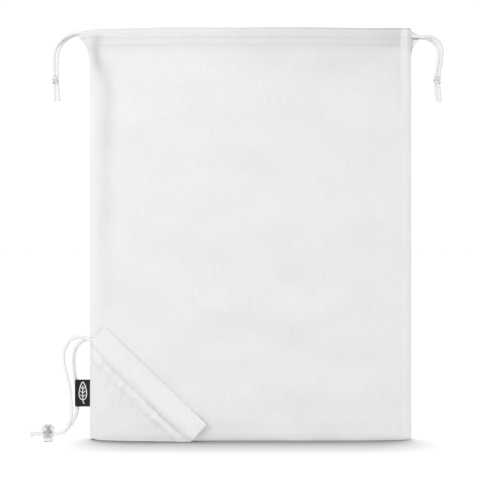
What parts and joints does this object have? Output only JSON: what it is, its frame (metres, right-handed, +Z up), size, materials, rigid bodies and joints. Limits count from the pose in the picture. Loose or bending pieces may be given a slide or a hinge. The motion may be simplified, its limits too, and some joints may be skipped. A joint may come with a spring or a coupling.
{
  "type": "laundry bag",
  "caption": "Tall white drawstring laundry bag, open at the top, with a stow-away corner pouch, a press-button cord stopper and a folded side label.",
  "frame": {"origin": "middle of the bottom seam's lower edge, on the surface the bag stands on", "axes": "+Z up to the mouth, +X to the right seen from the front, the front panel faces -Y"},
  "size_m": [0.6265, 0.0894, 0.6258],
  "materials": {
    "cloth": "matte",
    "cord": "matte",
    "clear_plastic": "gloss",
    "spring": "satin",
    "label": "matte"
  },
  "bodies": {
    "bag": {"front_panel": "cloth", "back_panel": "cloth", "bottom_seam": "cloth", "left_side_seam": "cloth", "right_side_seam": "cloth", "front_hem": "cloth", "back_hem": "cloth", "pouch_front": "cloth", "pouch_back": "cloth", "pouch_band_front": "cloth", "pouch_band_back": "cloth", "drawcord_left_loop": "cord", "drawcord_right_loop": "cord", "pouch_cord_front_run": "cord", "pouch_cord_back_run": "cord", "pouch_cord_outer": "cord", "pouch_cord_inner": "cord"},
    "left_drawcord": {"drawcord_left_front": "cord", "drawcord_left_back": "cord", "drawcord_left_knot": "cord", "left_tail_front": "cord", "left_tail_back": "cord"},
    "right_drawcord": {"drawcord_right_front": "cord", "drawcord_right_back": "cord", "drawcord_right_knot": "cord", "right_tail_front": "cord", "right_tail_back": "cord"},
    "stopper": {"stopper_ball": "clear_plastic", "stopper_spring": "spring"},
    "plunger": {"stopper_plunger": "clear_plastic"},
    "label": {"side_label": "label"}
  },
  "joints": [
    {"name": "left_drawcord_pull", "type": "slide", "parent": "bag", "child": "left_drawcord", "axis": [-1, 0, 0], "range_m": [0, 0.05]},
    {"name": "right_drawcord_pull", "type": "slide", "parent": "bag", "child": "right_drawcord", "axis": [1, 0, 0], "range_m": [0, 0.05]},
    {"name": "stopper_slide", "type": "slide", "parent": "bag", "child": "stopper", "axis": [1, 0, 0], "range_m": [-0.007, 0.004]},
    {"name": "plunger_press", "type": "slide", "parent": "stopper", "child": "plunger", "axis": [0, 0, 1], "range_m": [0, 0.003], "stiffness_N_per_m": 200, "springref_m": -0.003, "deforming": ["stopper_spring"]},
    {"name": "label_flap", "type": "hinge", "parent": "bag", "child": "label", "pos_m": [-0.2468, 0, 0.07], "axis": [0, 0, 1], "range_deg": [-8, 70]}
  ]
}
